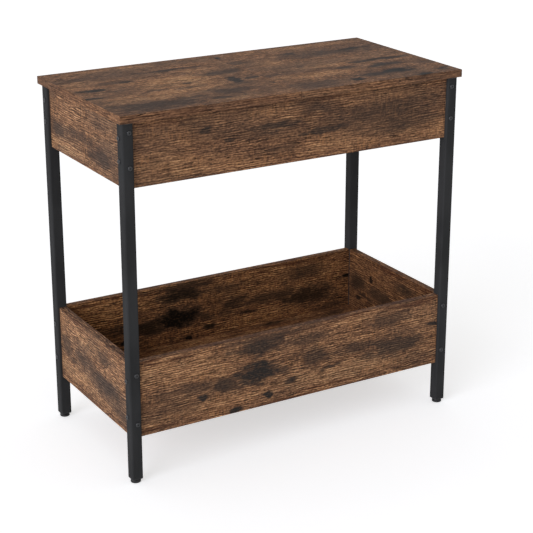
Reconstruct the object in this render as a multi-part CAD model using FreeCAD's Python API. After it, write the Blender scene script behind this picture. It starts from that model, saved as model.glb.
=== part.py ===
import FreeCAD, Part
import math
import os

from FreeCAD import Placement, Rotation, Vector

# All lengths are millimetres. X runs along the table, Y from front to back, Z up from the floor.

# Overall size of the table
table_length = 600.0
table_depth = 300.0
table_height = 580.0

# Two lids that meet over the middle of the table
lid_thickness = 12.0
lid_overhang = 5.0
lid_seam_gap = 0.4
lid_rest_gap = 0.8

# Boards of the upper compartment and of the lower bin
board_thickness = 12.0
board_recess = 5.0
board_edge_radius = 0.5
apron_height = 98.0
bin_height = 122.5
bin_bottom = 75.0
floor_thickness = 12.0
floor_raise = 4.0
floor_corner_clearance = 0.5

# Square steel tube posts
post_side = 18.0
post_wall = 1.2
post_corner_radius = 2.5

# Plastic plugs in the ends of the posts
plug_fit_clearance = 0.1
cap_flange = 1.5
cap_plug_length = 8.0
socket_flange = 1.2
socket_length = 20.0
plug_core_side = 12.0
plug_rib_thickness = 1.2
plug_rib_pitch = 3.2
flange_edge_radius = 0.5

# Screw feet
foot_height = 6.5
foot_radius = 8.0
foot_pad_height = 4.8
foot_base_chamfer = 0.8
foot_shoulder_radius = 1.6
foot_neck_radius = 4.6
foot_turning_gap = 0.3
foot_stem_radius = 3.0
foot_stem_length = 15.0
foot_stem_chamfer = 0.8
foot_stem_clearance = 0.05
foot_stem_end_room = 2.0

# Round head bolts through the posts into the ends of the boards
bolt_radius = 2.0
bolt_hole_clearance = 0.2
bolt_grip_in_board = 22.0
bolt_tip_chamfer = 0.5
bolt_head_radius = 3.8
bolt_head_height = 2.2
bolt_head_rim = 0.5
bolt_crown_radius = 2.1
bolt_socket_across_flats = 2.5
bolt_socket_depth = 1.3
bolt_end_room = 2.0

# Heights of the bolts: middle of each set below the top of its boards, and half the distances
apron_bolts_below_top = 40.0
apron_long_bolt_half_pitch = 17.0
apron_side_bolt_half_pitch = 26.0
bin_bolts_below_top = 58.5
bin_long_bolt_half_pitch = 29.5
bin_side_bolt_half_pitch = 40.0

# Threaded inserts in the ends of the boards
insert_radius = 3.5
insert_length = 14.0
insert_fit_clearance = 0.05

# Wooden dowels that hold the two floors between their boards
dowel_radius = 3.0
dowel_in_board = 8.0
dowel_in_floor = 12.0
dowel_chamfer = 0.6
dowel_fit_clearance = 0.05
dowel_end_room = 0.5
long_dowel_shares = (-0.36, 0.0, 0.36)
side_dowel_shares = (-0.28, 0.28)

# Butt hinges behind the back apron
hinge_width = 40.0
hinge_leaf_thickness = 1.2
hinge_knuckle_radius = 2.5
hinge_lid_clearance = 0.3
hinge_pin_radius = 1.25
hinge_pin_clearance = 0.05
hinge_pin_head_radius = 2.0
hinge_pin_head_thickness = 0.8
hinge_knuckle_count = 5
hinge_knuckle_gap = 0.3
hinge_upright_setback = 0.5
hinge_upright_drop = 11.0
hinge_crank_drop = 7.5
hinge_fixed_leaf_length = 44.0
hinge_lid_leaf_reach = 20.0
hinge_leaf_corner_radius = 2.0
hinge_notch_clearance = 0.4
hinge_notch_side_clearance = 0.5
hinge_place_shares = (0.25, 0.75)

# Countersunk wood screws in the hinge leaves
screw_head_radius = 2.7
screw_head_depth = 1.2
screw_shank_radius = 1.5
screw_length = 10.0
screw_tip_length = 2.5
screw_fit_clearance = 0.05
screw_edge_distance = 6.0
screw_row_pitch = 7.5
screw_side_shares = (-0.33, 0.0, 0.33)

# Bumper discs under the front edge of each lid
bumper_radius = 4.0
bumper_place_shares = (0.1, 0.9)

# One overrun serves every cut that has to break through a surface
cut_overrun = 1.0

# Places that follow from the sizes above
lid_underside = table_height - lid_thickness
apron_top = lid_underside - lid_rest_gap
apron_bottom = apron_top - apron_height
bin_top = bin_bottom + bin_height
post_outer_x = table_length / 2 - lid_overhang
post_outer_y = table_depth / 2 - lid_overhang
post_inner_x = post_outer_x - post_side
post_inner_y = post_outer_y - post_side
board_outer_x = post_outer_x - board_recess
board_outer_y = post_outer_y - board_recess
board_inner_x = board_outer_x - board_thickness
board_inner_y = board_outer_y - board_thickness
board_middle_x = board_outer_x - board_thickness / 2
board_middle_y = board_outer_y - board_thickness / 2
post_tube_bottom = foot_height + socket_flange
post_tube_top = apron_top - cap_flange
tube_bore_side = post_side - 2 * post_wall
tube_bore_radius = post_corner_radius - post_wall
hinge_axis_y = table_depth / 2 - hinge_knuckle_radius
hinge_axis_z = lid_underside - hinge_lid_clearance - hinge_knuckle_radius
hinge_bore_radius = hinge_pin_radius + hinge_pin_clearance

corners = {
    "front_left": (-1, -1),
    "front_right": (1, -1),
    "back_left": (-1, 1),
    "back_right": (1, 1),
}

apron_box = {
    "name": "apron",
    "bottom": apron_bottom,
    "top": apron_top,
    "long_bolts": [apron_top - apron_bolts_below_top + s * apron_long_bolt_half_pitch for s in (-1, 1)],
    "side_bolts": [apron_top - apron_bolts_below_top + s * apron_side_bolt_half_pitch for s in (-1, 1)],
}

bin_box = {
    "name": "bin",
    "bottom": bin_bottom,
    "top": bin_top,
    "long_bolts": [bin_top - bin_bolts_below_top + s * bin_long_bolt_half_pitch for s in (-1, 1)],
    "side_bolts": [bin_top - bin_bolts_below_top + s * bin_side_bolt_half_pitch for s in (-1, 1)],
}

boxes = (apron_box, bin_box)


def block(x_pair, y_pair, z_pair):
    """Box between two values on each axis."""
    x_low, x_high = sorted(x_pair)
    y_low, y_high = sorted(y_pair)
    z_low, z_high = sorted(z_pair)
    return Part.makeBox(x_high - x_low, y_high - y_low, z_high - z_low, Vector(x_low, y_low, z_low))


def edges_along(shape, direction):
    """Straight edges of a shape that run along a direction."""
    found = []
    for edge in shape.Edges:
        start = edge.Vertexes[0].Point
        end = edge.Vertexes[-1].Point
        run = end.sub(start)
        if run.Length > 0 and abs(run.normalize().dot(direction)) > math.cos(math.radians(1)):
            found.append(edge)
    return found


def rounded_block(centre_x, centre_y, side, radius, z_low, z_high):
    """Upright square block with rounded vertical edges."""
    half = side / 2
    shape = block((centre_x - half, centre_x + half), (centre_y - half, centre_y + half), (z_low, z_high))
    return shape.makeFillet(radius, edges_along(shape, Vector(0, 0, 1)))


def revolved(points):
    """Solid turned about Z from an outline of radius and height pairs that ends on the axis."""
    outline = [Vector(radius, 0, height) for radius, height in points]
    outline.append(outline[0])
    face = Part.Face(Part.makePolygon(outline))
    return face.revolve(Vector(0, 0, 0), Vector(0, 0, 1), 360)


def placed(shape, point, direction):
    """Copy of a shape made along +Z, moved to a point and turned to a direction."""
    copy = shape.copy()
    copy.Placement = Placement(point, Rotation(Vector(0, 0, 1), direction))
    return copy


def strip_outline(points, thickness):
    """Closed outline in the YZ plane of a bent strip that lies to the left of a path of points."""
    normals = []
    for (y0, z0), (y1, z1) in zip(points, points[1:]):
        run = math.hypot(y1 - y0, z1 - z0)
        normals.append((-(z1 - z0) / run, (y1 - y0) / run))
    offset = [(points[0][0] + normals[0][0] * thickness, points[0][1] + normals[0][1] * thickness)]
    for index in range(1, len(points) - 1):
        before = normals[index - 1]
        after = normals[index]
        scale = thickness / (1 + before[0] * after[0] + before[1] * after[1])
        offset.append((
            points[index][0] + (before[0] + after[0]) * scale,
            points[index][1] + (before[1] + after[1]) * scale,
        ))
    offset.append((points[-1][0] + normals[-1][0] * thickness, points[-1][1] + normals[-1][1] * thickness))
    return list(points) + offset[::-1]


def write(name, shape):
    """Save one named piece, or one group of like pieces."""
    shape.exportStep("parts/" + name + ".step")


def bolt():
    """Round head bolt on +Z: the underside of the head is at zero and the shank points down."""
    shank_length = post_side + bolt_grip_in_board
    dome_height = bolt_head_height - bolt_head_rim
    dome_width = bolt_head_radius - bolt_crown_radius
    half = math.sqrt(0.5)
    corner = Vector(bolt_head_radius, 0, bolt_head_rim)
    shoulder = Vector(bolt_crown_radius + dome_width * half, 0, bolt_head_rim + dome_height * half)
    crown = Vector(bolt_crown_radius, 0, bolt_head_height)
    lower = Part.makePolygon([
        Vector(0, 0, bolt_head_height),
        Vector(0, 0, -shank_length),
        Vector(bolt_radius - bolt_tip_chamfer, 0, -shank_length),
        Vector(bolt_radius, 0, -shank_length + bolt_tip_chamfer),
        Vector(bolt_radius, 0, 0),
        Vector(bolt_head_radius, 0, 0),
        corner,
    ])
    dome = Part.Arc(corner, shoulder, crown).toShape()
    flat = Part.makeLine(crown, Vector(0, 0, bolt_head_height))
    outline = Part.Wire(lower.Edges + [dome, flat])
    solid = Part.Face(outline).revolve(Vector(0, 0, 0), Vector(0, 0, 1), 360)
    socket_turn = math.radians(60)
    socket_radius = bolt_socket_across_flats / 2 / math.cos(socket_turn / 2)
    socket_floor = bolt_head_height - bolt_socket_depth
    ring = []
    for step in range(7):
        angle = socket_turn * step
        ring.append(Vector(socket_radius * math.cos(angle), socket_radius * math.sin(angle), socket_floor))
    socket = Part.Face(Part.makePolygon(ring)).extrude(Vector(0, 0, bolt_socket_depth + cut_overrun))
    return solid.cut(socket)


def threaded_insert():
    """Insert on +Z with its mouth at zero and its body below."""
    outer = Part.makeCylinder(insert_radius, insert_length, Vector(0, 0, -insert_length))
    bore = Part.makeCylinder(
        bolt_radius + insert_fit_clearance,
        insert_length + 2 * cut_overrun,
        Vector(0, 0, -insert_length - cut_overrun),
    )
    return outer.cut(bore)


def insert_hole():
    """Stepped hole for an insert and the bolt's tip, on +Z with its mouth at zero."""
    wide_radius = insert_radius + insert_fit_clearance
    narrow_radius = bolt_radius + bolt_hole_clearance
    depth = bolt_grip_in_board + bolt_end_room
    return revolved([
        (0, cut_overrun),
        (wide_radius, cut_overrun),
        (wide_radius, -insert_length),
        (narrow_radius, -insert_length),
        (narrow_radius, -depth),
        (0, -depth),
    ])


def dowel():
    """Fluteless dowel on +Z: zero is the joint face, the part in the floor is above."""
    tip_radius = dowel_radius - dowel_chamfer
    return revolved([
        (0, -dowel_in_board),
        (tip_radius, -dowel_in_board),
        (dowel_radius, -dowel_in_board + dowel_chamfer),
        (dowel_radius, dowel_in_floor - dowel_chamfer),
        (tip_radius, dowel_in_floor),
        (0, dowel_in_floor),
    ])


def dowel_hole():
    """Room for a dowel on both sides of the joint face."""
    return Part.makeCylinder(
        dowel_radius + dowel_fit_clearance,
        dowel_in_board + dowel_in_floor + 2 * dowel_end_room,
        Vector(0, 0, -dowel_in_board - dowel_end_room),
    )


def wood_screw():
    """Countersunk screw on +Z with the top of its head at zero."""
    return revolved([
        (0, 0),
        (screw_head_radius, 0),
        (screw_shank_radius, -screw_head_depth),
        (screw_shank_radius, -screw_length + screw_tip_length),
        (0, -screw_length),
    ])


def screw_hole():
    """Countersunk hole that a wood screw fits, on +Z with its mouth at zero."""
    extra = screw_fit_clearance
    return revolved([
        (0, cut_overrun),
        (screw_head_radius + extra, cut_overrun),
        (screw_head_radius + extra, 0),
        (screw_shank_radius + extra, -screw_head_depth),
        (screw_shank_radius + extra, -screw_length + screw_tip_length),
        (0, -screw_length - extra),
    ])


def bolt_places(box, run):
    """Mouth points on the posts' outer faces and outward directions, for the long or the side boards."""
    places = []
    for side_x, side_y in corners.values():
        for height in box[run + "_bolts"]:
            if run == "long":
                point = Vector(side_x * post_outer_x, side_y * board_middle_y, height)
                outward = Vector(side_x, 0, 0)
            else:
                point = Vector(side_x * board_middle_x, side_y * post_outer_y, height)
                outward = Vector(0, side_y, 0)
            places.append((point, outward))
    return places


def insert_places(box, run):
    """The same bolts where they enter the ends of the boards."""
    return [(point - outward * post_side, outward) for point, outward in bolt_places(box, run)]


def dowel_places(box):
    """Joint points between a floor and its boards, each with the direction into the floor."""
    height = box["bottom"] + floor_raise + floor_thickness / 2
    places = []
    for side in (-1, 1):
        for share in long_dowel_shares:
            point = Vector(share * 2 * board_inner_x, side * board_inner_y, height)
            places.append((point, Vector(0, -side, 0)))
        for share in side_dowel_shares:
            point = Vector(side * board_inner_x, share * 2 * board_inner_y, height)
            places.append((point, Vector(-side, 0, 0)))
    return places


def eased_board(x_pair, y_pair, z_pair, long_direction):
    """Board with its four long edges slightly rounded."""
    shape = block(x_pair, y_pair, z_pair)
    return shape.makeFillet(board_edge_radius, edges_along(shape, long_direction))


def drilled(board, box, run):
    """Board with the holes for its inserts and dowels."""
    cutters = [placed(insert_hole(), point, outward) for point, outward in insert_places(box, run)]
    cutters += [placed(dowel_hole(), point, inward) for point, inward in dowel_places(box)]
    near = [cutter for cutter in cutters if cutter.BoundBox.intersect(board.BoundBox)]
    return board.cut(near)


def long_board(box, side_y):
    """Front or back board between two posts."""
    y_pair = (side_y * board_inner_y, side_y * board_outer_y)
    board = eased_board((-post_inner_x, post_inner_x), y_pair, (box["bottom"], box["top"]), Vector(1, 0, 0))
    return drilled(board, box, "long")


def side_board(box, side_x):
    """Left or right board between two posts."""
    x_pair = (side_x * board_inner_x, side_x * board_outer_x)
    board = eased_board(x_pair, (-post_inner_y, post_inner_y), (box["bottom"], box["top"]), Vector(0, 1, 0))
    return drilled(board, box, "side")


def floor_board(box):
    """Floor inside four boards, notched where the posts stand into its corners."""
    low = box["bottom"] + floor_raise
    high = low + floor_thickness
    floor = block((-board_inner_x, board_inner_x), (-board_inner_y, board_inner_y), (low, high))
    notch_x = post_inner_x - floor_corner_clearance
    notch_y = post_inner_y - floor_corner_clearance
    z_pair = (low - cut_overrun, high + cut_overrun)
    cutters = []
    for side_x, side_y in corners.values():
        x_pair = (side_x * notch_x, side_x * (board_inner_x + cut_overrun))
        y_pair = (side_y * notch_y, side_y * (board_inner_y + cut_overrun))
        cutters.append(block(x_pair, y_pair, z_pair))
    cutters += [placed(dowel_hole(), point, inward) for point, inward in dowel_places(box)]
    return floor.cut(cutters)


def post_centre(side_x, side_y):
    """Middle of a post in plan."""
    return side_x * (post_outer_x - post_side / 2), side_y * (post_outer_y - post_side / 2)


def post(side_x, side_y):
    """Square tube with the bolt holes of both boxes through its walls."""
    centre_x, centre_y = post_centre(side_x, side_y)
    tube = rounded_block(centre_x, centre_y, post_side, post_corner_radius, post_tube_bottom, post_tube_top)
    bore = rounded_block(
        centre_x,
        centre_y,
        tube_bore_side,
        tube_bore_radius,
        post_tube_bottom - cut_overrun,
        post_tube_top + cut_overrun,
    )
    cutters = [bore]
    for box in boxes:
        for run in ("long", "side"):
            for point, outward in bolt_places(box, run):
                if point.x * side_x > 0 and point.y * side_y > 0:
                    cutters.append(Part.makeCylinder(
                        bolt_radius + bolt_hole_clearance,
                        post_side + 2 * cut_overrun,
                        point + outward * cut_overrun,
                        outward.negative(),
                    ))
    return tube.cut(cutters)


def ribbed_plug(side_x, side_y, mouth, length):
    """Core and gripping ribs that fill a post's end from its mouth inwards; length carries the sign."""
    centre_x, centre_y = post_centre(side_x, side_y)
    inward = math.copysign(1, length)
    low, high = sorted((mouth, mouth + length))
    core = rounded_block(centre_x, centre_y, plug_core_side, tube_bore_radius, low, high)
    rib_side = tube_bore_side - 2 * plug_fit_clearance
    ribs = []
    reach = plug_rib_pitch
    while reach <= abs(length):
        rib_low, rib_high = sorted((mouth + inward * reach, mouth + inward * (reach - plug_rib_thickness)))
        ribs.append(rounded_block(centre_x, centre_y, rib_side, tube_bore_radius, rib_low, rib_high))
        reach += plug_rib_pitch
    return core.fuse(ribs)


def flange(side_x, side_y, low, high, outer_height):
    """Plate that closes a post's end, eased round its outer face."""
    centre_x, centre_y = post_centre(side_x, side_y)
    plate = rounded_block(centre_x, centre_y, post_side, post_corner_radius, low, high)
    rim = [edge for edge in plate.Edges if all(vertex.Z == outer_height for vertex in edge.Vertexes)]
    return plate.makeFillet(flange_edge_radius, rim)


def post_cap(side_x, side_y):
    """Plug in the top of a post, under the lid."""
    plate = flange(side_x, side_y, post_tube_top, apron_top, apron_top)
    return plate.fuse(ribbed_plug(side_x, side_y, post_tube_top, -cap_plug_length))


def foot_socket(side_x, side_y):
    """Threaded plug in the bottom of a post that takes the screw foot."""
    centre_x, centre_y = post_centre(side_x, side_y)
    plate = flange(side_x, side_y, foot_height, post_tube_bottom, foot_height)
    body = plate.fuse(ribbed_plug(side_x, side_y, post_tube_bottom, socket_length))
    bore = Part.makeCylinder(
        foot_stem_radius + foot_stem_clearance,
        cut_overrun + foot_stem_length + foot_stem_end_room,
        Vector(centre_x, centre_y, foot_height - cut_overrun),
    )
    return body.cut(bore)


def screw_foot(side_x, side_y):
    """Round foot with its stem, turned in one outline."""
    centre_x, centre_y = post_centre(side_x, side_y)
    neck_top = foot_height - foot_turning_gap
    stem_top = foot_height + foot_stem_length
    half = math.sqrt(0.5)
    shoulder_start = Vector(foot_radius, 0, foot_pad_height - foot_shoulder_radius)
    shoulder_middle = Vector(
        foot_radius - foot_shoulder_radius * (1 - half),
        0,
        foot_pad_height - foot_shoulder_radius * (1 - half),
    )
    shoulder_end = Vector(foot_radius - foot_shoulder_radius, 0, foot_pad_height)
    lower = Part.makePolygon([
        Vector(0, 0, 0),
        Vector(foot_radius - foot_base_chamfer, 0, 0),
        Vector(foot_radius, 0, foot_base_chamfer),
        shoulder_start,
    ])
    shoulder = Part.Arc(shoulder_start, shoulder_middle, shoulder_end).toShape()
    upper = Part.makePolygon([
        shoulder_end,
        Vector(foot_neck_radius, 0, foot_pad_height),
        Vector(foot_neck_radius, 0, neck_top),
        Vector(foot_stem_radius, 0, neck_top),
        Vector(foot_stem_radius, 0, stem_top - foot_stem_chamfer),
        Vector(foot_stem_radius - foot_stem_chamfer, 0, stem_top),
        Vector(0, 0, stem_top),
        Vector(0, 0, 0),
    ])
    outline = Part.Wire(lower.Edges + [shoulder] + upper.Edges)
    solid = Part.Face(outline).revolve(Vector(0, 0, 0), Vector(0, 0, 1), 360)
    return placed(solid, Vector(centre_x, centre_y, 0), Vector(0, 0, 1))


def hinge_centres(side_x):
    """Middles along X of the hinges of one lid."""
    return [side_x * share * table_length / 2 for share in hinge_place_shares]


def knuckle_spans(centre_x, of_lid):
    """Lengths along X of the knuckles that belong to the lid leaf or to the fixed leaf."""
    gaps = (hinge_knuckle_count - 1) * hinge_knuckle_gap
    length = (hinge_width - gaps) / hinge_knuckle_count
    spans = []
    for index in range(hinge_knuckle_count):
        if (index % 2 == 1) == of_lid:
            start = centre_x - hinge_width / 2 + index * (length + hinge_knuckle_gap)
            spans.append((start, start + length))
    return spans


def axis_cylinder(radius, span, margin):
    """Cylinder on the hinge axis over a span along X, longer by a margin at both ends."""
    low, high = span
    start = Vector(low - margin, hinge_axis_y, hinge_axis_z)
    return Part.makeCylinder(radius, high - low + 2 * margin, start, Vector(1, 0, 0))


def with_knuckles(leaf, centre_x, of_lid):
    """Leaf with its own knuckles, with room for those of the other leaf and with the pin's bore."""
    clear_radius = hinge_knuckle_radius + hinge_lid_clearance
    room = [axis_cylinder(clear_radius, span, hinge_knuckle_gap) for span in knuckle_spans(centre_x, not of_lid)]
    own = [axis_cylinder(hinge_knuckle_radius, span, 0) for span in knuckle_spans(centre_x, of_lid)]
    whole = (centre_x - hinge_width / 2, centre_x + hinge_width / 2)
    bore = axis_cylinder(hinge_bore_radius, whole, cut_overrun)
    return leaf.cut(room).fuse(own).cut(bore)


def fixed_screw_places(centre_x):
    """Screws of a fixed leaf, on its outer face."""
    outer = board_outer_y + hinge_leaf_thickness
    low = hinge_axis_z - hinge_fixed_leaf_length + screw_edge_distance
    places = []
    for share in screw_side_shares:
        height = low + screw_row_pitch if share == 0 else low
        places.append((Vector(centre_x + share * hinge_width, outer, height), Vector(0, 1, 0)))
    return places


def lid_screw_places(centre_x):
    """Screws of a lid leaf, on its underside in the compartment."""
    under = lid_underside - hinge_leaf_thickness
    front = board_inner_y - hinge_lid_leaf_reach + screw_edge_distance
    places = []
    for share in screw_side_shares:
        back = front + screw_row_pitch if share == 0 else front
        places.append((Vector(centre_x + share * hinge_width, back, under), Vector(0, 0, -1)))
    return places


def hinge_fixed_leaf(centre_x):
    """Cranked leaf: screwed to the back apron, it stands out to carry the knuckles behind the posts."""
    upright = table_depth / 2 - hinge_upright_setback
    crank_top = hinge_axis_z - hinge_upright_drop
    crank_bottom = crank_top - hinge_crank_drop
    bottom = hinge_axis_z - hinge_fixed_leaf_length
    outer_face = board_outer_y + hinge_leaf_thickness
    path = [
        (outer_face, bottom),
        (outer_face, crank_bottom),
        (upright, crank_top),
        (upright, hinge_axis_z),
    ]
    left = centre_x - hinge_width / 2
    outline = [Vector(left, y, z) for y, z in strip_outline(path, hinge_leaf_thickness)]
    outline.append(outline[0])
    leaf = Part.Face(Part.makePolygon(outline)).extrude(Vector(hinge_width, 0, 0))
    feet_corners = [
        edge for edge in edges_along(leaf, Vector(0, 1, 0))
        if max(vertex.Z for vertex in edge.Vertexes) < bottom + hinge_leaf_thickness
    ]
    leaf = leaf.makeFillet(hinge_leaf_corner_radius, feet_corners)
    holes = [placed(screw_hole(), point, outward) for point, outward in fixed_screw_places(centre_x)]
    return with_knuckles(leaf, centre_x, False).cut(holes)


def hinge_lid_leaf(centre_x):
    """Flat leaf under the lid, over the notch in the back apron."""
    front = board_inner_y - hinge_lid_leaf_reach
    x_pair = (centre_x - hinge_width / 2, centre_x + hinge_width / 2)
    z_pair = (lid_underside - hinge_leaf_thickness, lid_underside)
    leaf = block(x_pair, (front, hinge_axis_y), z_pair)
    front_corners = [
        edge for edge in edges_along(leaf, Vector(0, 0, 1))
        if max(vertex.Y for vertex in edge.Vertexes) < front + hinge_leaf_thickness
    ]
    leaf = leaf.makeFillet(hinge_leaf_corner_radius, front_corners)
    holes = [placed(screw_hole(), point, outward) for point, outward in lid_screw_places(centre_x)]
    return with_knuckles(leaf, centre_x, True).cut(holes)


def hinge_pin(centre_x):
    """Pin with a flat head at each end."""
    whole = (centre_x - hinge_width / 2, centre_x + hinge_width / 2)
    shaft = axis_cylinder(hinge_pin_radius, whole, hinge_pin_head_thickness)
    heads = []
    for end, side in zip(whole, (-1, 1)):
        span = sorted((end, end + side * hinge_pin_head_thickness))
        heads.append(axis_cylinder(hinge_pin_head_radius, span, 0))
    return shaft.fuse(heads)


def back_apron():
    """Back board of the compartment with notches for the lid leaves and holes for the hinge screws."""
    board = long_board(apron_box, 1)
    half_notch = hinge_width / 2 + hinge_notch_side_clearance
    notch_floor = lid_underside - hinge_leaf_thickness - hinge_notch_clearance
    cutters = []
    for side_x in (-1, 1):
        for centre_x in hinge_centres(side_x):
            cutters.append(block(
                (centre_x - half_notch, centre_x + half_notch),
                (board_inner_y - cut_overrun, board_outer_y + cut_overrun),
                (notch_floor, apron_top + cut_overrun),
            ))
            for point, outward in fixed_screw_places(centre_x):
                cutters.append(placed(screw_hole(), point, outward))
    return board.cut(cutters)


def lid(side_x):
    """One of the two lids, with holes for its hinge screws."""
    x_pair = (side_x * lid_seam_gap / 2, side_x * table_length / 2)
    y_pair = (-table_depth / 2, table_depth / 2)
    board = block(x_pair, y_pair, (lid_underside, table_height))
    board = board.makeFillet(board_edge_radius, board.Edges)
    holes = []
    for centre_x in hinge_centres(side_x):
        holes += [placed(screw_hole(), point, outward) for point, outward in lid_screw_places(centre_x)]
    return board.cut(holes)


def lid_bumpers(side_x):
    """Discs under the front edge of a lid that meet the front apron."""
    discs = []
    for share in bumper_place_shares:
        place_x = side_x * share * post_inner_x
        discs.append(Part.makeCylinder(bumper_radius, lid_rest_gap, Vector(place_x, -board_middle_y, apron_top)))
    return Part.makeCompound(discs)


def group(shape, places):
    """Copies of one shape at many places, as one set of separate solids."""
    return Part.makeCompound([placed(shape, point, direction) for point, direction in places])


def main():
    """Build every piece of the table and save it."""
    os.makedirs("parts", exist_ok=True)
    for name, (side_x, side_y) in corners.items():
        write("post_" + name, post(side_x, side_y))
        write("post_cap_" + name, post_cap(side_x, side_y))
        write("foot_socket_" + name, foot_socket(side_x, side_y))
        write("screw_foot_" + name, screw_foot(side_x, side_y))
    for box in boxes:
        label = box["name"]
        write(label + "_front", long_board(box, -1))
        write(label + "_left", side_board(box, -1))
        write(label + "_right", side_board(box, 1))
        write(label + "_floor", floor_board(box))
        write(label + "_dowels", group(dowel(), dowel_places(box)))
        for run in ("long", "side"):
            write(label + "_" + run + "_bolts", group(bolt(), bolt_places(box, run)))
            write(label + "_" + run + "_inserts", group(threaded_insert(), insert_places(box, run)))
    write("apron_back", back_apron())
    write("bin_back", long_board(bin_box, 1))
    fixed_screws = []
    for label, side_x in (("left", -1), ("right", 1)):
        write("lid_" + label, lid(side_x))
        write("lid_bumpers_" + label, lid_bumpers(side_x))
        lid_screws = []
        for place, centre_x in zip(("inner", "outer"), hinge_centres(side_x)):
            name = label + "_" + place
            write("hinge_fixed_leaf_" + name, hinge_fixed_leaf(centre_x))
            write("hinge_lid_leaf_" + name, hinge_lid_leaf(centre_x))
            write("hinge_pin_" + name, hinge_pin(centre_x))
            lid_screws += lid_screw_places(centre_x)
            fixed_screws += fixed_screw_places(centre_x)
        write("lid_hinge_screws_" + label, group(wood_screw(), lid_screws))
    write("apron_hinge_screws", group(wood_screw(), fixed_screws))


main()
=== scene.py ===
"""Looks of a storage side table: rustic laminate boards on black steel posts."""

import logging
import math
from collections.abc import Iterable, Sequence
from dataclasses import dataclass, replace
from enum import Enum
from functools import partial, reduce
from itertools import product

import bpy
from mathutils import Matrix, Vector


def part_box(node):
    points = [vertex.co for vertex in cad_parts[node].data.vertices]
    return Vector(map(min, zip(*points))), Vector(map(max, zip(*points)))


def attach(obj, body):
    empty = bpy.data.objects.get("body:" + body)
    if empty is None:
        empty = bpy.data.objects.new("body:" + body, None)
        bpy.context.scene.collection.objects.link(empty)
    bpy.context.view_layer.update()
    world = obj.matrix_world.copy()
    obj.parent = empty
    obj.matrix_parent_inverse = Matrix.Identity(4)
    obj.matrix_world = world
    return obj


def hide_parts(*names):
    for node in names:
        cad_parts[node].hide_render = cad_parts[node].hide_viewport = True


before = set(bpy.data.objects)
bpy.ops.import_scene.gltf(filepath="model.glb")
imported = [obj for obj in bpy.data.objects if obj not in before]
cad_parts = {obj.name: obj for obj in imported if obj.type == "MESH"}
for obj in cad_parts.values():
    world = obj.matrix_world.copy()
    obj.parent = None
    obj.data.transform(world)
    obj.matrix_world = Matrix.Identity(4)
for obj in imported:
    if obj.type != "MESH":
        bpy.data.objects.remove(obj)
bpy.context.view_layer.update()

MM = 0.001
log = logging.getLogger("side_table")

Piece = bpy.types.Object
Socket = bpy.types.NodeSocket
Pair = tuple[float, float]
Triple = tuple[float, float, float]
Colour = tuple[float, float, float, float]
Source = Socket | float | Triple | Colour
Fixed = tuple[tuple[str, float], ...]
Oval = tuple[float, float, float, float, float]  # place along and across, reach, spread, depth

WHITE: Colour = (1.0, 1.0, 1.0, 1.0)


@dataclass(frozen=True)
class Tone:
    """A colour as it is read off a screen, each part from 0 to 255."""

    red: float
    green: float
    blue: float

    def linear(self) -> Colour:
        """Returns the colour as light, ready for a shader's socket."""

        def part(value: float) -> float:
            """Returns one part as light, by the standard curve of screens."""
            share = value / 255
            return share / 12.92 if share <= 0.04045 else ((share + 0.055) / 1.055) ** 2.4

        return (part(self.red), part(self.green), part(self.blue), 1.0)

    def lifted(self, lift: Triple) -> "Tone":
        """Returns the colour with something added to each part."""
        return Tone(self.red + lift[0], self.green + lift[1], self.blue + lift[2])


class Graph:
    """A node tree that is built call by call."""

    def __init__(self, tree: bpy.types.NodeTree) -> None:
        """Takes a tree to build in."""
        self.nodes, self.links = tree.nodes, tree.links

    def fill(self, node: bpy.types.Node, inputs: dict[int | str, Source]) -> None:
        """Fills some of a node's inputs.

        Args:
            node: the node.
            inputs: another node's output or a plain value for each input, by its name or number.
        """
        for place, source in inputs.items():
            if isinstance(source, Socket):
                self.links.new(source, node.inputs[place])
            else:
                node.inputs[place].default_value = source

    def add(self, kind: str, inputs: dict[int | str, Source], **settings: str | bool) -> bpy.types.Node:
        """Adds a node.

        Args:
            kind: its type.
            inputs: what goes into its inputs, by their names or numbers.
            settings: its own settings by name.

        Returns:
            The node.
        """
        node = self.nodes.new(kind)
        for name, setting in settings.items():
            setattr(node, name, setting)
        self.fill(node, inputs)
        return node

    def maths(self, kind: str, first: Source, second: Source = 0.0, clamp: bool = False) -> Socket:
        """Returns the result of one Math node, kept from 0 to 1 where it is clamped."""
        return self.add("ShaderNodeMath", {0: first, 1: second}, operation=kind, use_clamp=clamp).outputs[0]

    def plus(self, *parts: Source) -> Socket:
        """Returns the sum of some values."""
        return reduce(partial(self.maths, "ADD"), parts)

    def times(self, first: Source, second: Source) -> Socket:
        """Returns the product of two values."""
        return self.maths("MULTIPLY", first, second)

    def highest(self, values: Iterable[Source]) -> Socket:
        """Returns the highest of some values."""
        return reduce(partial(self.maths, "MAXIMUM"), values)

    def seen_directly(self) -> Socket:
        """Tells rays that show a picture, straight or mirrored, from those that only carry light.

        Returns:
            A socket that is 1 on camera, glossy and transmission rays, and 0 on others.
        """
        rays = self.add("ShaderNodeLightPath", {}).outputs
        kinds = ("Is Camera Ray", "Is Glossy Ray", "Is Transmission Ray")
        return self.highest(rays[kind] for kind in kinds)


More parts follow.
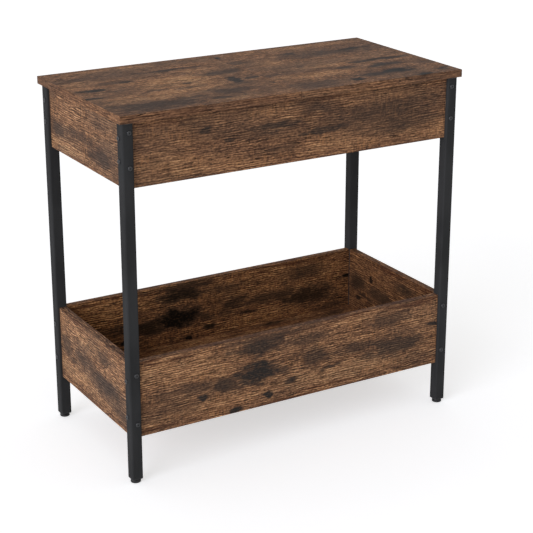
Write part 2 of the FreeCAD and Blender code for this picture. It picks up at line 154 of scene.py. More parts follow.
class Pattern(Graph):
    """The node graph of one finish."""

    def __init__(self, name: str) -> None:
        """Starts an empty material.

        Args:
            name: the finish's name.
        """
        self.material = bpy.data.materials.new(name)
        self.material.use_nodes = True
        super().__init__(self.material.node_tree)
        self.shader = self.nodes["Principled BSDF"]

    def place(self) -> Socket:
        """Returns the piece's own Object coordinates."""
        return self.add("ShaderNodeTexCoord", {}).outputs["Object"]

    def split(self, vector: Socket) -> tuple[Socket, ...]:
        """Returns the three parts of a vector."""
        return tuple(self.add("ShaderNodeSeparateXYZ", {0: vector}).outputs)

    def joined(self, along: Source, across: Source, through: Source = 0.0) -> Socket:
        """Returns a vector made of three parts."""
        return self.add("ShaderNodeCombineXYZ", {0: along, 1: across, 2: through}).outputs[0]

    def scaled(self, vector: Socket, factor: Triple, shift: Triple = (0.0, 0.0, 0.0)) -> Socket:
        """Returns a vector times a factor for each part, plus a shift of each part."""
        inputs = {0: vector, 1: factor, 2: shift}
        return self.add("ShaderNodeVectorMath", inputs, operation="MULTIPLY_ADD").outputs["Vector"]

    def length(self, vector: Socket) -> Socket:
        """Returns the length of a vector."""
        return self.add("ShaderNodeVectorMath", {0: vector}, operation="LENGTH").outputs["Value"]

    def cloud(self, vector: Socket, detail: float, rough: float) -> Socket:
        """Returns a noise from 0 to 1, its grain one unit wide, with finer layers and their strength."""
        inputs = {"Vector": vector, "Scale": 1.0, "Detail": detail, "Roughness": rough}
        return self.add("ShaderNodeTexNoise", inputs).outputs[0]

    def centred(self, noise: Socket, reach: float) -> Socket:
        """Returns a noise turned into a swing about zero."""
        return self.times(self.maths("SUBTRACT", noise, 0.5), reach)

    def ease(self, value: Socket, start: float, end: float, low: float = 0.0, high: float = 1.0) -> Socket:
        """Returns a value mapped smoothly to low at the start and high at the end, and held there."""
        inputs = dict(enumerate((value, start, end, low, high)))
        return self.add("ShaderNodeMapRange", inputs, interpolation_type="SMOOTHSTEP").outputs[0]

    def chosen(self, amount: Source, first: Source, second: Source) -> Socket:
        """Returns the first vector where the amount is 0, and the second where it is 1."""
        inputs = {0: amount, 4: first, 5: second}
        return self.add("ShaderNodeMix", inputs, data_type="VECTOR").outputs[1]

    def covered(self, under: Source, amount: Source, over: Source, kind: str = "MIX") -> Socket:
        """Returns a colour that another one covers by some amount, or multiplies."""
        inputs = {0: amount, 6: under, 7: over}
        return self.add("ShaderNodeMix", inputs, data_type="RGBA", blend_type=kind).outputs[2]

    def scale_of_tones(self, value: Socket, stops: Sequence[tuple[float, Tone]]) -> Socket:
        """Turns a value into a colour through a row of tones.

        Args:
            value: where on the row, from 0 to 1.
            stops: each tone with its place on the row.

        Returns:
            The colour.
        """
        node = self.add("ShaderNodeValToRGB", {0: value})
        row = node.color_ramp.elements
        while len(row) < len(stops):
            row.new(0.5)
        for element, (place, tone) in zip(row, stops):
            element.position = place
            element.color = tone.linear()
        return node.outputs[0]

    def raised(self, height: Socket, depth: float, strength: float) -> None:
        """Gives the shader a relief, with its depth in metres and how much of it shows."""
        bump = self.add("ShaderNodeBump", {"Strength": strength, "Distance": depth, "Height": height})
        self.fill(self.shader, {"Normal": bump.outputs[0]})

    def dress(self, pieces: Iterable[Piece]) -> None:
        """Puts the finish on every slot of some pieces.

        Args:
            pieces: the pieces.
        """
        for piece in pieces:
            if not piece.material_slots:
                piece.data.materials.append(self.material)
            for place in piece.material_slots:
                place.material = self.material


class Lay(Enum):
    """Which way a board lies: its grain, its face's other direction and its thickness."""

    LONG_UPRIGHT = (0, 2, 1)
    SIDE_UPRIGHT = (1, 2, 0)
    LONG_FLAT = (0, 1, 2)


@dataclass(frozen=True)
class Drawing:
    """What is drawn into a board's print, in millimetres from the board's middle."""

    marks: tuple[Oval, ...]
    glows: tuple[Oval, ...] = ()
    knots: tuple[Oval, ...] = ()


@dataclass(frozen=True)
class Grain:
    """One noise of the print: its number, its grains' length and width in metres, its layers."""

    number: int
    length: float
    width: float
    detail: float
    rough: float = 0.55

    def per_metre(self) -> Triple:
        """Returns how many grains fit into a metre along each axis."""
        return (1 / self.length, 1 / self.width, 1 / self.width)


@dataclass(frozen=True)
class Swing:
    """A noise that swings about zero, and how far."""

    grain: Grain
    reach: float


@dataclass(frozen=True)
class Veil:
    """A noise as a mask, which is low where the noise is at the start and high at the end."""

    grain: Grain
    start: float
    end: float
    low: float = 0.0
    high: float = 1.0


@dataclass(frozen=True)
class RusticLaminate:
    """Printed rustic oak on a board: smears, knots, fibres and saw marks on a warm brown.

    The boards differ in the first values, down to the tint, and share all the others.
    """

    lay: Lay
    drawing: Drawing
    drift: float = 0.0  # how much lighter its face is; the lids' darker faces are partly print and partly painted shade on their tops
    greyness: float = 0.30  # how much grey ash lies over it; none on the boards inside the bin, as part of the painted shade there
    band_lift: float = -0.08  # how much lighter its edges are
    edge_grit: float = 1.0  # how strong the fine grain is on its edges
    soot: float = 1.0  # how dark its smears are
    figure: float = 1.0  # how strong the broad grain is
    grit: float = 1.0  # how strong the fine grain is
    stripes: float = 0.8  # how strong the long stripes beside its edges are
    sheen: float = 0.05  # the shader's specular level
    glow_gain: float = 0.17  # how light its glows are
    core: Tone = Tone(48, 46, 44)  # the middle of a smear
    tint: Colour = WHITE  # what the whole print is multiplied by: painted cool light on the side boards, painted shade on the boards inside the bin

    band: float = 0.35 * MM
    sway: Swing = Swing(Grain(1, 0.26, 0.08, 1.0), 0.010)
    aside: Swing = Swing(Grain(22, 0.045, 0.022, 2.0), 0.036)
    astray: Swing = Swing(Grain(23, 0.040, 0.020, 2.0), 0.016)

    middle_tone: float = 0.54
    broad: Swing = Swing(Grain(2, 0.20, 0.060, 1.5, 0.5), 0.32)
    long: Swing = Swing(Grain(3, 0.09, 0.0100, 1.0, 0.5), 0.12)
    fibre: Swing = Swing(Grain(4, 0.020, 0.0020, 1.0, 0.5), 0.70)
    speckle: Swing = Swing(Grain(5, 0.0044, 0.0020, 1.0, 0.5), 0.70)
    weave_pitch: float = 0.0037
    weave_wander: Swing = Swing(Grain(19, 0.030, 0.010, 2.0, 0.5), 14.0)
    weave_depth: Veil = Veil(Grain(20, 0.016, 0.0050, 1.0), 0.32, 0.66, 0.03, 0.22)
    weave_patches: Veil = Veil(Grain(24, 0.070, 0.030, 2.0), 0.34, 0.66, 0.55, 1.25)

    rag: Swing = Swing(Grain(6, 0.026, 0.012, 3.0, 0.6), 1.7)
    fray: Swing = Swing(Grain(14, 0.009, 0.0028, 2.0, 0.6), 1.0)
    mark_rim: Pair = (1.45, 0.30)
    knot_rag: Swing = Swing(Grain(16, 0.008, 0.0045, 3.0, 0.6), 0.7)
    knot_rim: Pair = (1.15, 0.75)
    smear: Veil = Veil(Grain(7, 0.070, 0.026, 5.0, 0.6), 0.56, 0.74, 0.0, 0.35)

    line: Veil = Veil(Grain(9, 0.030, 0.0021, 1.0, 0.5), 0.52, 0.60)
    line_patches: Veil = Veil(Grain(10, 0.060, 0.030, 2.0), 0.35, 0.62, 0.10, 0.60)
    line_tone: Tone = Tone(66, 47, 36)
    crack: Veil = Veil(Grain(18, 0.020, 0.0024, 2.0, 0.5), 0.62, 0.66, 0.0, 0.80)
    crack_tone: Tone = Tone(42, 31, 25)
    speck: Veil = Veil(Grain(25, 0.0075, 0.0036, 1.0), 0.60, 0.68)
    speck_patches: Veil = Veil(Grain(26, 0.055, 0.028, 3.0), 0.48, 0.62, 0.05, 0.75)
    speck_tone: Tone = Tone(58, 47, 40)
    saw: Grain = Grain(11, 0.0028, 0.014, 1.0, 0.5)
    saw_patches: Veil = Veil(Grain(12, 0.060, 0.032, 2.0), 0.44, 0.68, 0.03, 0.50)
    glint_range: Pair = (0.54, 0.62)
    glint_tone: Tone = Tone(176, 124, 82)
    groove_range: Pair = (0.44, 0.36)
    groove_tone: Tone = Tone(80, 58, 44)
    stripe: Veil = Veil(Grain(17, 0.120, 0.0042, 3.0), 0.50, 0.62)
    stripe_zone: Pair = (0.62, 0.94)  # in shares of half the board's width
    stripe_tone: Tone = Tone(80, 49, 37)
    ash: Veil = Veil(Grain(8, 0.16, 0.050, 2.0), 0.42, 0.66)
    ash_tone: Tone = Tone(88, 73, 62)
    halo_range: Pair = (0.0, 0.60)
    halo_depth: float = 0.68
    halo_tone: Tone = Tone(76, 60, 51)
    core_range: Pair = (0.30, 0.95)
    core_depth: float = 0.95
    core_fleck: Veil = Veil(Grain(21, 0.0060, 0.0032, 2.0, 0.6), 0.36, 0.54, 0.68, 1.0)
    fine_shade: float = 1.1

    gloss: tuple[float, float, float, float] = (0.30, 0.70, 0.66, 0.52)
    sunk: float = 0.6
    relief_depth: float = 0.25 * MM
    relief_strength: float = 0.35
    tones: tuple[tuple[float, Tone], ...] = (
        (0.00, Tone(48, 38, 32)),
        (0.20, Tone(78, 57, 46)),
        (0.42, Tone(117, 84, 64)),
        (0.60, Tone(150, 109, 79)),
        (0.80, Tone(184, 136, 96)),
        (1.00, Tone(214, 166, 120)),
    )


class BoardPrint(Pattern):
    """The node graph of one board's print."""

    seed_steps: Triple = (1.7, 2.3, 3.1)
    number_step: float = 7.3

    def __init__(self, style: RusticLaminate, piece: Piece, seed: float) -> None:
        """Starts the print and works out where a spot lies on the board.

        Args:
            style: what the print is made of.
            piece: the board.
            seed: what sets its noises apart from the other boards'.
        """
        super().__init__("rustic_" + piece.name)
        self.style, self.piece, self.seed = style, piece, seed
        low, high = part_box(piece.name)
        middle, half = (low + high) / 2, (high - low) / 2
        parts = self.split(self.scaled(self.place(), (1.0, 1.0, 1.0), tuple(-middle)))
        along, across, through = (parts[axis] for axis in style.lay.value)
        half_along, half_across = (half[axis] for axis in style.lay.value[:2])
        self.board = self.joined(along, across, through)
        aside = self.plus(along, self.swing(self.board, style.aside))
        astray = self.plus(across, self.swing(self.board, style.astray))
        self.flat = self.joined(aside, astray)

        from_middle = self.maths("ABSOLUTE", across)
        end = self.maths("GREATER_THAN", self.maths("ABSOLUTE", along), half_along - style.band)
        side = self.maths("GREATER_THAN", from_middle, half_across - style.band)
        self.inside = self.maths("LESS_THAN", self.plus(end, side), 0.5)
        self.near_side = self.ease(from_middle, *(half_across * share for share in style.stripe_zone))
        swayed = self.plus(across, self.swing(self.board, style.sway))
        face, end_grain = self.joined(along, swayed, through), self.joined(across, through, along)
        self.bent = self.chosen(end, face, end_grain)
        self.rag = self.plus(self.swing(self.bent, style.rag), self.swing(self.bent, style.fray))
        self.fibre = self.noise(self.bent, style.fibre.grain)

    def noise(self, source: Socket, grain: Grain) -> Socket:
        """Returns one noise of the print at a place."""
        shift = tuple(self.seed * step + grain.number * self.number_step for step in self.seed_steps)
        return self.cloud(self.scaled(source, grain.per_metre(), shift), grain.detail, grain.rough)

    def swing(self, source: Socket, swing: Swing, gain: float = 1.0) -> Socket:
        """Returns a noise that swings about zero, its reach times a gain."""
        return self.centred(self.noise(source, swing.grain), swing.reach * gain)

    def veil(self, source: Socket, veil: Veil, gain: float = 1.0) -> Socket:
        """Returns a noise as a mask, its high end times a gain."""
        return self.ease(self.noise(source, veil.grain), veil.start, veil.end, veil.low, veil.high * gain)

    def patchy(self, veil: Veil, patches: Veil, gain: float = 1.0) -> Socket:
        """Returns a mask along the grain that comes and goes in patches."""
        return self.times(self.veil(self.bent, veil, gain), self.veil(self.bent, patches))

    def spots(self, ovals: Sequence[Oval], rag: Socket, rim: Pair) -> Socket:
        """Joins ragged ovals into one mask.

        Args:
            ovals: the ovals.
            rag: how far each oval's rim wanders.
            rim: where an oval starts and where it is full, in shares of its size.

        Returns:
            The mask.
        """
        masks = []
        for along, across, reach, spread, depth in ovals:
            size = (1 / (reach * MM), 1 / (spread * MM), 0.0)
            shift = (-along / reach, -across / spread, 0.0)
            away = self.length(self.scaled(self.flat, size, shift))
            masks.append(self.ease(self.plus(away, rag), *rim, 0.0, depth))
        return self.highest(masks)

    def smears(self) -> Socket:
        """Draws the dark smears and knots.

        Returns:
            How dark they are.
        """
        style, drawing = self.style, self.style.drawing
        masks = [self.veil(self.bent, style.smear), self.spots(drawing.marks, self.rag, style.mark_rim)]
        if drawing.knots:
            masks.append(self.spots(drawing.knots, self.swing(self.bent, style.knot_rag), style.knot_rim))
        return self.times(self.highest(masks), self.inside)

    def fine_grain(self) -> list[Socket]:
        """Draws the fine grain.

        Returns:
            The swings of its fibres, its speckle and its weave.
        """
        style = self.style
        _, across, through = self.split(self.bent)
        beat = self.times(self.plus(across, through), math.tau / style.weave_pitch)
        wave = self.maths("SINE", self.plus(beat, self.swing(self.bent, style.weave_wander)))
        swings = (
            self.centred(self.fibre, style.fibre.reach * style.grit),
            self.swing(self.bent, style.speckle, style.grit),
            self.times(wave, self.patchy(style.weave_depth, style.weave_patches, style.grit)),
        )
        lively = self.plus(self.times(self.inside, 1 - style.edge_grit), style.edge_grit)
        return [self.times(swing, lively) for swing in swings]

    def bare_wood(self, fine: Sequence[Socket]) -> Socket:
        """Draws the wood under smears and lines.

        Args:
            fine: the swings of the fine grain.

        Returns:
            Its colour.
        """
        style = self.style
        broad, long = (self.swing(self.bent, swing, style.figure) for swing in (style.broad, style.long))
        lift = self.times(self.inside, style.drift - style.band_lift)
        tone = self.plus(broad, lift, style.middle_tone + style.band_lift, long, *fine)
        if style.drawing.glows:
            glow = self.times(self.spots(style.drawing.glows, self.rag, style.mark_rim), self.inside)
            tone = self.plus(tone, self.times(glow, style.glow_gain))
        return self.scale_of_tones(self.maths("MAXIMUM", tone, 0.0, clamp=True), style.tones)

    def paint(self) -> None:
        """Draws the whole print and puts it on the board."""
        style, bent = self.style, self.bent
        fine, smear = self.fine_grain(), self.smears()
        core = self.ease(smear, *style.core_range, 0.0, style.core_depth * style.soot)
        crack = self.veil(bent, style.crack)
        saw = self.noise(self.board, style.saw)
        sawn = self.times(self.veil(self.board, style.saw_patches), self.inside)
        groove = self.times(self.ease(saw, *style.groove_range), sawn)
        stripe = self.veil(self.board, style.stripe, style.stripes)
        wood = self.bare_wood(fine)
        # On the boards inside the bin, the missing grey ash and the darker core are painted shade.
        for amount, tone in (
            (self.patchy(style.line, style.line_patches), style.line_tone),
            (crack, style.crack_tone),
            (self.patchy(style.speck, style.speck_patches), style.speck_tone),
            (self.times(self.ease(saw, *style.glint_range), sawn), style.glint_tone),
            (groove, style.groove_tone),
            (self.times(self.near_side, stripe), style.stripe_tone),
            (self.veil(bent, style.ash, style.greyness), style.ash_tone),
            (self.ease(smear, *style.halo_range, 0.0, style.halo_depth * style.soot), style.halo_tone),
            (self.times(core, self.veil(bent, style.core_fleck)), style.core),
        ):
            wood = self.covered(wood, amount, tone.linear())
        shade = self.plus(self.times(self.plus(*fine[1:]), style.fine_shade), 1.0)
        shaded = self.covered(wood, 1.0, shade, "MULTIPLY")
        # The tint paints light and shade on some boards: cool light on the side boards, shade on the boards
        # inside the bin.
        colour = self.covered(shaded, 1.0, style.tint, "MULTIPLY")
        roughness = self.ease(self.fibre, *style.gloss)
        shine = {"Base Color": colour, "Roughness": roughness, "Specular IOR Level": style.sheen}
        self.fill(self.shader, shine)
        sunk = self.times(self.plus(crack, groove), style.sunk)
        self.raised(self.maths("SUBTRACT", self.fibre, sunk), style.relief_depth, style.relief_strength)
        self.dress([self.piece])
        log.info("dressed %s with %s", self.piece.name, self.material.name)


@dataclass(frozen=True)
class Fleck:
    """A noise of a plain finish: its grains per metre along each axis, its layers, their strength."""

    per_metre: Triple
    detail: float
    rough: float = 0.6


@dataclass(frozen=True)
class FleckedFinish:
    """A plain finish with flecks of a second tone and a fine relief."""

    name: str
    tone: Tone
    lift: Triple  # what a fleck adds to the tone
    fleck: Fleck
    fleck_range: Pair
    relief_depth: float
    relief_strength: float = 0.3
    peel: Fleck | None = None  # the relief's own noise, where it isn't that of the flecks
    gloss: Pair | None = None  # the lowest and highest roughness, where it varies
    gloss_range: Pair = (0.3, 0.7)
    gloss_by_peel: bool = False
    fixed: Fixed = ()  # what is the same all over, by the shader's names

    def build(self) -> Pattern:
        """Makes the finish's graph.

        Returns:
            The graph, ready to dress pieces.
        """
        pattern = Pattern(self.name)
        place = pattern.place()
        flecks, peel = (
            pattern.cloud(pattern.scaled(place, noise.per_metre), noise.detail, noise.rough)
            for noise in (self.fleck, self.peel or self.fleck)
        )
        amount, other = pattern.ease(flecks, *self.fleck_range), self.tone.lifted(self.lift).linear()
        shine = {"Base Color": pattern.covered(self.tone.linear(), amount, other), **dict(self.fixed)}
        if self.gloss:
            source = peel if self.gloss_by_peel else flecks
            shine["Roughness"] = pattern.ease(source, *self.gloss_range, *self.gloss)
        pattern.fill(pattern.shader, shine)
        pattern.raised(peel, self.relief_depth, self.relief_strength)
        return pattern


@dataclass(frozen=True)
class PowderCoat(FleckedFinish):
    """Matt black powder coat with its fine orange peel."""

    name: str = "matt_black_powder_coat"
    tone: Tone = Tone(53, 53, 53)
    lift: Triple = (8, 8, 8)
    fleck: Fleck = Fleck((28.0, 28.0, 9.0), 3.0, 0.5)
    fleck_range: Pair = (0.35, 0.65)
    relief_depth: float = 0.06 * MM
    relief_strength: float = 0.35
    peel: Fleck | None = Fleck((1400.0, 1400.0, 1400.0), 3.0)
    gloss: Pair | None = (0.56, 0.68)
    gloss_by_peel: bool = True
    fixed: Fixed = (("Specular IOR Level", 0.02),)


@dataclass(frozen=True)
class MouldedPlastic(FleckedFinish):
    """Black moulded plastic with a fine spark-eroded texture."""

    name: str = "black_moulded_plastic"
    tone: Tone = Tone(34, 34, 35)
    lift: Triple = (16, 16, 15)
    fleck: Fleck = Fleck((180.0, 180.0, 90.0), 4.0)
    fleck_range: Pair = (0.55, 0.75)
    relief_depth: float = 0.04 * MM
    peel: Fleck | None = Fleck((2600.0, 2600.0, 2600.0), 2.0)
    gloss: Pair | None = (0.48, 0.62)


@dataclass(frozen=True)
class BlackOxide(FleckedFinish):
    """Black oxide on a bolt's head, a little brighter than the posts."""

    name: str = "black_oxide_steel"
    tone: Tone = Tone(58, 58, 59)
    lift: Triple = (-14, -14, -13)
    fleck: Fleck = Fleck((700.0, 700.0, 700.0), 4.0)
    fleck_range: Pair = (0.4, 0.65)
    relief_depth: float = 0.02 * MM
    gloss: Pair | None = (0.34, 0.46)
    fixed: Fixed = (("Metallic", 0.35),)


@dataclass(frozen=True)
class ZincPlate(FleckedFinish):
    """Bright zinc on screws, pins and inserts, with a faint bluish bloom."""

    name: str = "zinc_plated_steel"
    tone: Tone = Tone(196, 198, 200)
    lift: Triple = (-24, -18, -12)
    fleck: Fleck = Fleck((350.0, 350.0, 350.0), 5.0)
    fleck_range: Pair = (0.42, 0.62)
    relief_depth: float = 0.02 * MM
    gloss: Pair | None = (0.28, 0.42)
    fixed: Fixed = (("Metallic", 1.0),)


@dataclass(frozen=True)
class TurnedHardwood(FleckedFinish):
    """Bare turned beech on the dowels."""

    name: str = "turned_beech"
    tone: Tone = Tone(214, 178, 132)
    lift: Triple = (-30, -36, -34)
    fleck: Fleck = Fleck((260.0, 260.0, 260.0), 4.0)
    fleck_range: Pair = (0.4, 0.65)
    relief_depth: float = 0.05 * MM
    fixed: Fixed = (("Roughness", 0.7),)


@dataclass(frozen=True)
class SoftDisc(FleckedFinish):
    """Milky soft rubber of the discs under the lids."""

    name: str = "milky_soft_rubber"
    tone: Tone = Tone(206, 206, 200)
    lift: Triple = (-28, -30, -32)
    fleck: Fleck = Fleck((900.0, 900.0, 900.0), 3.0)
    fleck_range: Pair = (0.5, 0.7)
    relief_depth: float = 0.02 * MM
    relief_strength: float = 0.2
    fixed: Fixed = (("Roughness", 0.38), ("Subsurface Weight", 0.15))


class Bench:
    """Modelling steps that the new pieces share."""

    @staticmethod
    def clear() -> None:
        """Deselects everything."""
        bpy.ops.object.select_all(action="DESELECT")

    @staticmethod
    def select_only(pieces: Sequence[Piece]) -> None:
        """Selects some pieces and makes the first one active.

        Args:
            pieces: the pieces.
        """
        Bench.clear()
        for piece in pieces:
            piece.select_set(True)
        bpy.context.view_layer.objects.active = pieces[0]

    @staticmethod
    def settle(piece: Piece) -> None:
        """Moves a piece's place, turn and scale into its mesh."""
        Bench.select_only([piece])
        bpy.ops.object.transform_apply(location=True, rotation=True, scale=True)

    @staticmethod
    def open_all() -> None:
        """Opens the active piece in edit mode and selects all of it."""
        bpy.ops.object.mode_set(mode="EDIT")
        bpy.ops.mesh.select_all(action="SELECT")

    @staticmethod
    def leave() -> None:
        """Goes back to object mode."""
        bpy.ops.object.mode_set(mode="OBJECT")

    @staticmethod
    def remove(piece: Piece) -> None:
        """Deletes a piece."""
        Bench.select_only([piece])
        bpy.ops.object.delete()

    @staticmethod
    def joined(pieces: Sequence[Piece]) -> Piece:
        """Joins some pieces into the first one.

        Args:
            pieces: the pieces.

        Returns:
            The first piece, which now holds them all.
        """
        Bench.select_only(pieces)
        bpy.ops.object.join()
        return pieces[0]

    @staticmethod
    def combine(first: Piece, second: Piece, operation: str) -> None:
        """Adds one solid to another or cuts it out, and deletes it.

        Args:
            first: the solid that stays.
            second: the solid that is added or cut out.
            operation: UNION or DIFFERENCE.
        """
        Bench.select_only([first])
        step = first.modifiers.new("combined", "BOOLEAN")
        step.operation = operation
        step.solver = "EXACT"
        step.object = second
        bpy.ops.object.modifier_apply(modifier=step.name)
        Bench.remove(second)

    @staticmethod
    def turned(outline: Sequence[Pair], sides: int) -> Piece:
        """Models a round solid about the Z axis, ring by ring.

        Args:
            outline: radius and height of each ring in millimetres, from the bottom up.
            sides: how many sides a ring has.

        Returns:
            The piece.
        """
        (radius, height), *rings = ((radius * MM, height * MM) for radius, height in outline)
        Bench.clear()
        bpy.ops.mesh.primitive_circle_add(vertices=sides, radius=radius, fill_type="NGON")
        piece = bpy.context.object
        Bench.open_all()
        bpy.ops.transform.translate(value=(0, 0, height))
        for next_radius, next_height in rings:
            bpy.ops.mesh.extrude_region_move(TRANSFORM_OT_translate={"value": (0, 0, next_height - height)})
            share = next_radius / radius
            bpy.ops.transform.resize(value=(share, share, 1), center_override=(0, 0, next_height))
            radius, height = next_radius, next_height
        bpy.ops.mesh.select_all(action="DESELECT")
        Bench.leave()
        return piece

    @staticmethod
    def close(piece: Piece, smooth_degrees: float) -> None:
        """Ends the modelling of a piece: normals outwards, doubles merged, curved faces smooth.

        Args:
            piece: the piece.
            smooth_degrees: edges sharper than this stay sharp.
        """
        Bench.select_only([piece])
        Bench.open_all()
        bpy.ops.mesh.remove_doubles(threshold=0.001 * MM)
        bpy.ops.mesh.normals_make_consistent(inside=False)
        Bench.leave()
        bpy.ops.object.shade_smooth_by_angle(angle=math.radians(smooth_degrees))

    @staticmethod
    def copied(piece: Piece, name: str) -> Piece:
        """Copies a piece with its own mesh.

        Args:
            piece: the piece to copy.
            name: the copy's name.

        Returns:
            The copy.
        """
        twin = piece.copy()
        twin.data = piece.data.copy()
        twin.name = name
        bpy.context.scene.collection.objects.link(twin)
        return twin


@dataclass(frozen=True)
class Thread:
    """The three-sided helical ridge of a screw or stem, its sizes in millimetres."""

    middle: float  # from the axis to the middle of the ridge's outline
    outline: float  # the radius of the ridge's outline
    bottom: float
    pitch: float
    turns: int
    steps: int
    reach: float | None = None  # how far the ridge stands out, where its outline is stretched
    smooth_degrees: float = 40.0

    def build(self) -> Piece:
        """Winds the ridge up the Z axis.

        Returns:
            The ridge.
        """
        Bench.clear()
        bpy.ops.mesh.primitive_circle_add(
            vertices=3,
            radius=self.outline * MM,
            fill_type="NOTHING",
            location=(self.middle * MM, 0, self.bottom * MM),
            rotation=(math.pi / 2, math.pi / 2, 0),
        )
        ridge = bpy.context.object
        Bench.settle(ridge)
        if self.reach:
            sides = [vertex.co.x for vertex in ridge.data.vertices]
            stretch = self.reach * MM / (max(sides) - min(sides))
            Bench.open_all()
            bpy.ops.transform.resize(value=(stretch, 1, 1), center_override=(self.middle * MM, 0, 0))
            Bench.leave()
        winding = ridge.modifiers.new("turns", "SCREW")
        winding.axis = "Z"
        winding.screw_offset = self.pitch * MM
        winding.iterations = self.turns
        winding.steps = winding.render_steps = self.steps
        bpy.ops.object.modifier_apply(modifier=winding.name)
        Bench.open_all()
        bpy.ops.mesh.fill_holes(sides=3)
        Bench.leave()
        Bench.close(ridge, self.smooth_degrees)
        return ridge


@dataclass
class ScrewFeet:
    """The four levelling feet: a moulded pad with a gripping rim on a threaded stem."""

    corners: tuple[tuple[str, float, float], ...] = (
        ("front_left", -286.0, -136.0),
        ("front_right", 286.0, -136.0),
        ("back_left", -286.0, 136.0),
        ("back_right", 286.0, 136.0),
    )
    pad: tuple[Pair, ...] = (
        (6.9, 0.0), (7.7, 0.35), (8.0, 0.9), (8.0, 3.2), (7.3, 4.1), (6.2, 4.8), (4.6, 4.8), (4.6, 6.2),
        (2.45, 6.2), (2.45, 20.9), (1.9, 21.5),
    )
    sides: int = 48
    smooth_degrees: float = 40.0
    grip_zone: Pair = (0.9, 3.2)
    grip_rim: float = 0.12
    grip_depth: float = 0.28
    wall_slope: float = 0.1
    thread: Thread = Thread(
        middle=(2.35 * 2 + 3.0) / 3, outline=0.42, bottom=6.7, pitch=1.0, turns=13, steps=20, reach=0.65
    )

    def shape_pad(self) -> Piece:
        """Models the pad and the stem's core, with grooves round the pad's rim.

        Returns:
            The pad.
        """
        pad = Bench.turned(self.pad, self.sides)
        low, high = (height * MM for height in self.grip_zone)
        walls = [face for face in pad.data.polygons if abs(face.normal.z) < self.wall_slope]
        rim = [face for face in walls if low < face.center.z < high]
        around = sorted(rim, key=lambda face: math.atan2(face.center.y, face.center.x))
        for face in around[::2]:
            face.select = True
        bpy.ops.object.mode_set(mode="EDIT")
        bpy.ops.mesh.select_mode(type="FACE")
        bpy.ops.mesh.inset(thickness=self.grip_rim * MM, depth=-self.grip_depth * MM, use_individual=True)
        Bench.leave()
        Bench.close(pad, self.smooth_degrees)
        return pad

    def build(self) -> None:
        """Models one foot and sets a copy under each post."""
        model = Bench.joined([self.shape_pad(), self.thread.build()])
        finish = MouldedPlastic(name="black_foot_plastic", tone=Tone(30, 30, 31)).build()
        for corner, side_x, side_y in self.corners:
            foot = Bench.copied(model, "levelling_foot_" + corner)
            foot.location = (side_x * MM, side_y * MM, 0)
            Bench.settle(foot)
            finish.dress([foot])
            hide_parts("screw_foot_" + corner)
            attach(foot, "foot_" + corner)
            log.info("built %s", foot.name)
        Bench.remove(model)


